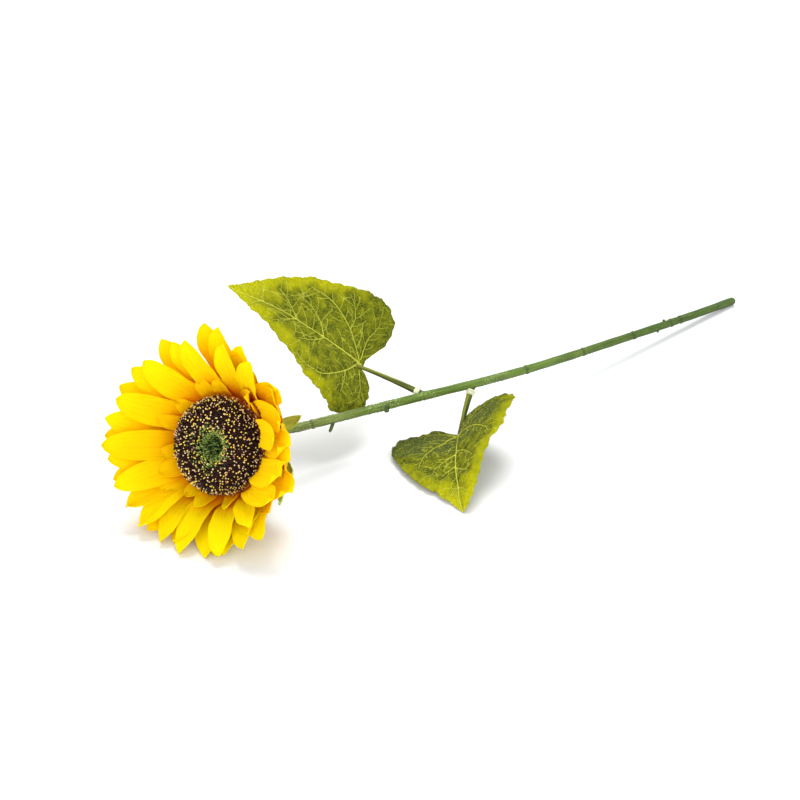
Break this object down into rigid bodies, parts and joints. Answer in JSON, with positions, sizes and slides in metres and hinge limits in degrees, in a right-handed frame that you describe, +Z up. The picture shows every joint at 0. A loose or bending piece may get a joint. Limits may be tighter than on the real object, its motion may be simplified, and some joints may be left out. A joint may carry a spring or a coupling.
{
  "type": "cut sunflower",
  "caption": "Artificial cut sunflower lying on its side: layered yellow petals round a dark bristle disc, green calyx, slim bendable stem and heart-shaped leaves.",
  "frame": {"origin": "centre of the bounding box's base, on the surface that the flower lies on", "axes": "+X runs from the head to the cut end of the stem, +Z is up, away from the surface, and +Y follows by the right-hand rule"},
  "size_m": [0.6227, 0.2312, 0.1532],
  "materials": {
    "petal_cloth": "stiff printed cloth, bright yellow turning orange at the base, matt with a faint sheen",
    "sepal_cloth": "stiff printed cloth, fresh green, matt",
    "leaf_cloth": "stiff printed cloth, olive green with raised pale yellow-green veins, matt",
    "bristle_fibre": "dense upright fibre bristles, near-black purple with pale yellow tips",
    "tuft_fibre": "dense upright fibre bristles, green",
    "disc_plastic": "dark brown moulded plastic",
    "calyx_plastic": "green moulded plastic, satin",
    "stem_plastic": "green moulded plastic with fine lengthwise ribs, satin",
    "stalk_plastic": "olive green moulded plastic, satin",
    "pin_plastic": "cream moulded plastic, satin",
    "core_wire": "drawn steel wire, hidden in the stem"
  },
  "bodies": {
    "root": {"seed_bristles": "bristle_fibre", "centre_tuft": "tuft_fibre", "disc_base": "disc_plastic", "petal_whorl_inner": "petal_cloth", "petal_whorl_front": "petal_cloth", "petal_whorl_middle": "petal_cloth", "petal_whorl_back": "petal_cloth", "sepal_whorl": "sepal_cloth", "calyx_cup": "calyx_plastic", "stem": "stem_plastic", "stem_core_wire": "core_wire", "leaf_pin_upper": "pin_plastic", "leaf_pin_lower": "pin_plastic", "leaf_stalk_upper": "stalk_plastic", "leaf_stalk_lower": "stalk_plastic", "leaf_blade_upper": "leaf_cloth", "leaf_blade_lower": "leaf_cloth"}
  },
  "joints": []
}
